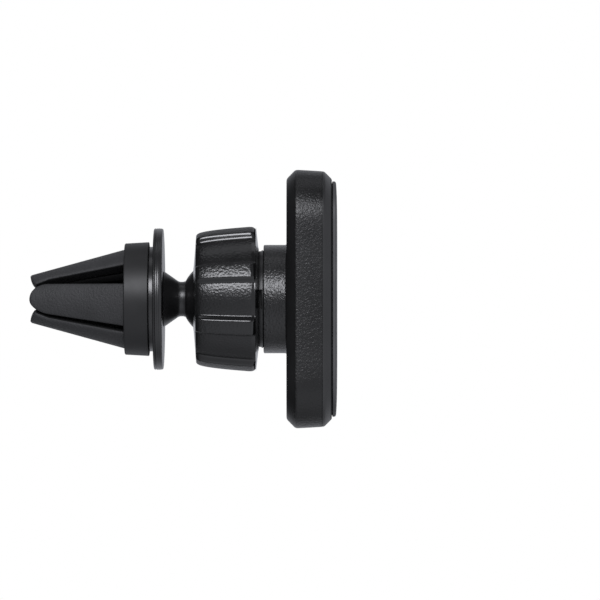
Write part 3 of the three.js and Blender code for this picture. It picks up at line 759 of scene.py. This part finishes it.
def socket_collet():
    """The ball's rear seat, a grooved barrel with four slots, and a spigot in the housing."""
    outline = arc(BALL_X, SEAT_R, 0, 82.9, 24)
    outline += [(15.5, 10.4), (15.65, SOCKET_R)]
    groove = FIRST_GROOVE_X
    while groove < LAST_GROOVE_X:
        outline += [(groove - 0.3, SOCKET_R), (groove - 0.1, SOCKET_R - GROOVE_DEPTH)]
        outline += [(groove + 0.1, SOCKET_R - GROOVE_DEPTH), (groove + 0.3, SOCKET_R)]
        groove += GROOVE_PITCH
    outline += [(SOCKET_SHOULDER_X - 0.1, SOCKET_R), (SOCKET_SHOULDER_X, SOCKET_R - 0.1)]
    outline += [(SOCKET_SHOULDER_X, SOCKET_SPIGOT_R), (socket_high.x, SOCKET_SPIGOT_R), (socket_high.x, 0)]
    piece = mesh_object("socket_collet_fine", turned(outline), "socket_plastic")
    for way_y, way_z in ((1, 0), (-1, 0), (0, 1), (0, -1)):
        cut_slot(piece, way_y, way_z)
    stand_in(piece, "head", "socket_collet")


# ---- head -----------------------------------------------------------------------------
BOSS_R = 11.7
BOSS_FOOT_R = 12.0            # where the boss meets the flat back
BOSS_END_X = 23.65
BOSS_BORE_R = 9.9
HOUSING_FLOOR_X = 30.3
BEZEL_PLATE_X = 37.1
PLATE_INSET = 10.5            # innermost ring of the flat faces of the bezel and the pad
SEAM_SHADE_X = 38.07                # past it the bezel is painted dark: painted shade of the seam round the pad
PAD_SEAM = 0.12               # so is this much of the pad's edge
PAD_EDGE_ROUND = 0.55
PAD_CROWN = 0.42


def rear_housing():
    """The boss, the flat back, a chamfer, the grained side, the rim, and the hollow inside."""
    rear = head_ring(HEAD_BACK_X, 2.3)
    front = house_high.x
    rings = [circle_like(x, r, rear) for x, r in (
        (BOSS_END_X, BOSS_BORE_R), (BOSS_END_X, 11.45), (23.68, 11.56), (23.75, 11.65),
        (23.88, BOSS_R), (28.3, BOSS_R),
        (28.45, 11.76), (28.55, 11.86), (HEAD_BACK_X, BOSS_FOOT_R), (HEAD_BACK_X, 12.4),
    )]
    rings += [head_ring(x, inset) for x, inset in (
        (HEAD_BACK_X, 2.6), (28.62, 2.2), (28.7, 1.95), (28.85, 1.72),
        (30.2, 0.32), (30.42, 0.14), (30.7, 0.03), (31.0, 0.0),
        (31.2, 0.0), (33.5, 0.12), (front - 0.12, 0.28),
        (front - 0.03, 0.29), (front, 0.33), (front, 1.9), (front - 0.1, 2.0),
        (31.7, 1.95), (HOUSING_FLOOR_X, 3.6),
    )]
    rings.append(circle_like(HOUSING_FLOOR_X, BOSS_BORE_R, rear))

    def on_back(centre, normal):
        beside_boss = math.hypot(centre.y, centre.z) > BOSS_FOOT_R
        return beside_boss and HEAD_BACK_X - 0.2 < centre.x < HOUSING_FLOOR_X

    def on_boss(centre, normal):
        return centre.x < HEAD_BACK_X and not on_back(centre, normal)

    piece = mesh_object("rear_housing_fine", skin(rings, closed=True), "grain_plastic", 30)
    paint(piece, "smooth_plastic", on_back)
    paint(piece, "boss_plastic", on_boss)
    stand_in(piece, "head", "rear_housing")


def front_bezel():
    """A plate whose rim turns back to the housing, with a wide chamfer at the front."""
    back = bezel_low.x
    front = bezel_high.x
    rings = [head_ring(x, inset) for x, inset in (
        (BEZEL_PLATE_X, PLATE_INSET), (BEZEL_PLATE_X, 2.3), (BEZEL_PLATE_X - 0.1, 2.2), (back, 2.2),
        (back, 0.34), (back + 0.03, 0.31), (back + 0.12, 0.31),
        (36.5, 0.34), (36.7, 0.42), (36.9, 0.56), (37.15, 0.8),
        (38.05, 1.71), (38.16, 1.84), (38.26, 1.98), (front, 2.15), (front, PLATE_INSET),
    )]
    piece = mesh_object("front_bezel_fine", skin(rings), "bezel_plastic")
    # painted shade: the bezel's front edge takes the nearly black rubber, for the shade in the seam round
    # the pad
    paint(piece, "painted_shade_rubber", lambda centre, normal: centre.x > SEAM_SHADE_X)
    stand_in(piece, "head", "front_bezel")


def crowned(ring, start, height):
    """The same ring, let down where it lies away from the middle of the face."""
    points = []
    for x, y, z in ring:
        away = max(abs(y) / HEAD_Y, abs(z) / HEAD_Z)
        share = (x - start) / height
        points.append((x - PAD_CROWN * share * away ** 4, y, z))
    return points


def face_pad():
    """The phone rests on this sheet; its face is a little crowned."""
    back = pad_low.x
    front = pad_high.x
    inset = HEAD_Z - pad_high.z
    rings = [head_ring(back, PLATE_INSET), head_ring(back, inset + 0.04), head_ring(back + 0.04, inset)]
    rings.append(head_ring(back + PAD_SEAM, inset))
    for k in range(9):
        turn = math.radians(90 * k / 8)
        x = front - PAD_EDGE_ROUND * (1 - math.sin(turn))
        rings.append(head_ring(x, inset + PAD_EDGE_ROUND * (1 - math.cos(turn))))
    edge = inset + PAD_EDGE_ROUND
    rings += [head_ring(front, edge + (PLATE_INSET - edge) * k / 7) for k in range(1, 8)]
    rings = [crowned(ring, back, front - back) for ring in rings]
    piece = mesh_object("face_pad_fine", skin(rings), "pad_rubber")
    # painted shade: the pad's back edge takes the nearly black rubber, for the shade in the seam round it
    paint(piece, "painted_shade_rubber", lambda centre, normal: centre.x < back + 0.1)
    stand_in(piece, "head", "face_pad")


# ---- carried-over CAD nodes -----------------------------------------------------------
def finish_carried_nodes():
    """Every CAD node takes the material that its row of the record names."""
    for row in frame["record"]["subparts"]:
        for place in frame["nodes"][row["node"]].material_slots:
            place.material = MATERIALS[row["material_slot"]]


add_camera()
studio()
add_floor()
bpy.context.scene.view_settings.view_transform = "Standard"
make_materials()
finish_carried_nodes()
for side, wide, turned_over in (
    ("near", False, False),
    ("top", True, False),
    ("far", False, True),
    ("bottom", True, True),
):
    jaw_cover(side, wide, turned_over)
clip_collar()
stop_flange()
ball_stud()
clamp_nut()
socket_collet()
rear_housing()
front_bezel()
face_pad()
